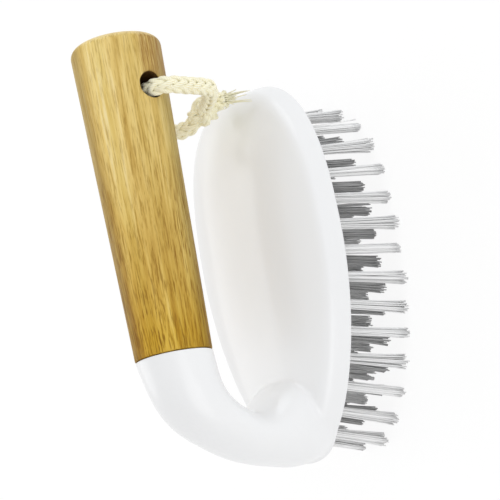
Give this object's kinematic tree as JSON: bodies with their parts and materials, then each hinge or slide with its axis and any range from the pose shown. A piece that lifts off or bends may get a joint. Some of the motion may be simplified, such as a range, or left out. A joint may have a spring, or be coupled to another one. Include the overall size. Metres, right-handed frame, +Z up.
{
  "type": "scrub brush",
  "caption": "Oval scrub brush: white moulded head with a bent arm carrying a tapered bamboo grip above it, fanned bristle tufts below and a knotted rope hanging loop.",
  "frame": {"origin": "middle of the brush's length and width on the plane of the bristle tips, measured without the rope", "axes": "+Z up from the bristle tips to the grip, +X from the heel, where the arm rises, to the tip and the grip's free end, +Y to the brush's left"},
  "size_m": [0.1522, 0.0696, 0.1049],
  "materials": {
    "shell": "white, glossy, moulded",
    "plate": "white, satin, moulded",
    "bristle": "white nylon filament",
    "bamboo": "turned, lightly varnished, lengthwise grain",
    "rope": "undyed plaited cotton"
  },
  "bodies": {
    "brush": {"head_shell": "shell", "tuft_plate": "plate", "bristles_outer": "bristle", "bristles_second": "bristle", "bristles_third": "bristle", "bristles_middle": "bristle", "bamboo_grip": "bamboo"},
    "rope": {"rope_loop": "rope", "rope_knot": "rope", "rope_tail_front": "rope", "rope_tail_rear": "rope"}
  },
  "joints": [
    {"name": "rope_swing", "type": "hinge", "parent": "brush", "child": "rope", "pos_m": [0.05588, 0, 0.08871], "axis": [0, -1, 0], "range_deg": [0, 180]}
  ]
}
